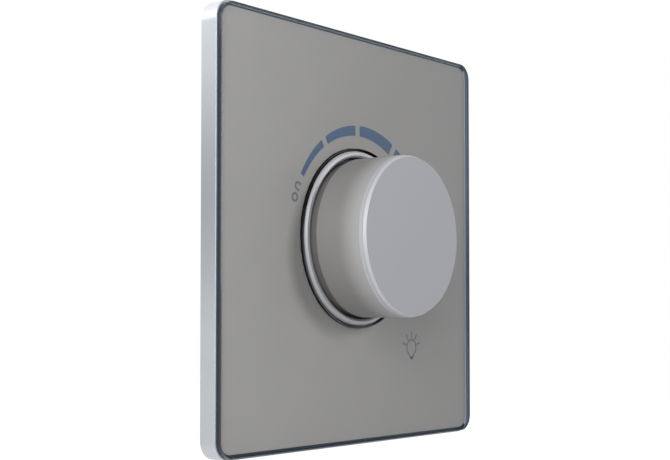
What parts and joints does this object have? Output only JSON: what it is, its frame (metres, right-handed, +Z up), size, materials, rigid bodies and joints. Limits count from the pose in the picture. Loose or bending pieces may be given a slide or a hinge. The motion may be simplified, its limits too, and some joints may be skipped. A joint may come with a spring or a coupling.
{
  "type": "dimmer switch",
  "caption": "Rotary wall dimmer: square clear-fronted plate on a satin metal frame, round metal knob in a bezel ring, slim rear module with terminals.",
  "frame": {"origin": "on the knob axis, midway between the two wall-screw slots, in the plane of the wall face", "axes": "+Y points into the wall along the knob axis, +Z is up, +X is to the viewer's right"},
  "size_m": [0.086, 0.0373, 0.086],
  "materials": {
    "clear_panel": "clear polished panel, dark blue at its edges",
    "panel_backing": "grey coating on the back of the panel",
    "satin_metal": "satin silver metal",
    "bright_ring": "bright satin metal",
    "knob_metal": "fine bead-blasted metal",
    "dark_plastic": "moulded, dark",
    "housing_plastic": "moulded thermoset, dark grey",
    "plated_steel": "zinc plated",
    "spring_steel": "drawn steel",
    "brass": "plain brass",
    "copper": "enamelled copper wire",
    "ferrite": "fired ferrite",
    "board_laminate": "laminate with solder resist",
    "capacitor_plastic": "moulded box",
    "resistor_body": "lacquered",
    "fuse_glass": "clear tube",
    "sink_aluminium": "plain aluminium"
  },
  "bodies": {
    "base": {"glass_panel": "clear_panel", "panel_adhesive": "panel_backing", "trim_frame": "satin_metal", "bezel_ring": "bright_ring", "carrier_plate": "dark_plastic", "mounting_plate": "plated_steel", "threaded_bushing": "brass", "bushing_nut": "plated_steel", "lock_washer": "plated_steel", "potentiometer_can": "plated_steel", "potentiometer_wafer": "board_laminate", "potentiometer_pins": "brass", "switch_housing": "dark_plastic", "switch_contacts": "brass", "rear_housing": "housing_plastic", "housing_screws": "plated_steel", "circuit_board": "board_laminate", "choke_core": "ferrite", "choke_winding": "copper", "film_capacitor": "capacitor_plastic", "timing_capacitor": "capacitor_plastic", "resistors": "resistor_body", "diac": "resistor_body", "fuse_tube": "fuse_glass", "fuse_end_caps": "plated_steel", "heat_sink": "sink_aluminium", "triac_body": "dark_plastic", "triac_legs": "plated_steel", "triac_screw": "plated_steel", "terminal_block": "housing_plastic", "terminal_cages": "brass", "terminal_screws": "plated_steel"},
    "knob": {"knob_cap": "knob_metal", "knob_insert": "dark_plastic", "grip_spring": "spring_steel", "control_shaft": "spring_steel", "shaft_circlip": "spring_steel", "wiper_rotor": "dark_plastic", "wiper_contact": "brass", "switch_cam": "dark_plastic"}
  },
  "joints": [
    {"name": "knob_turn", "type": "hinge", "parent": "base", "child": "knob", "pos_m": [0, 0, 0], "axis": [0, 1, 0], "range_deg": [0, 280]}
  ]
}
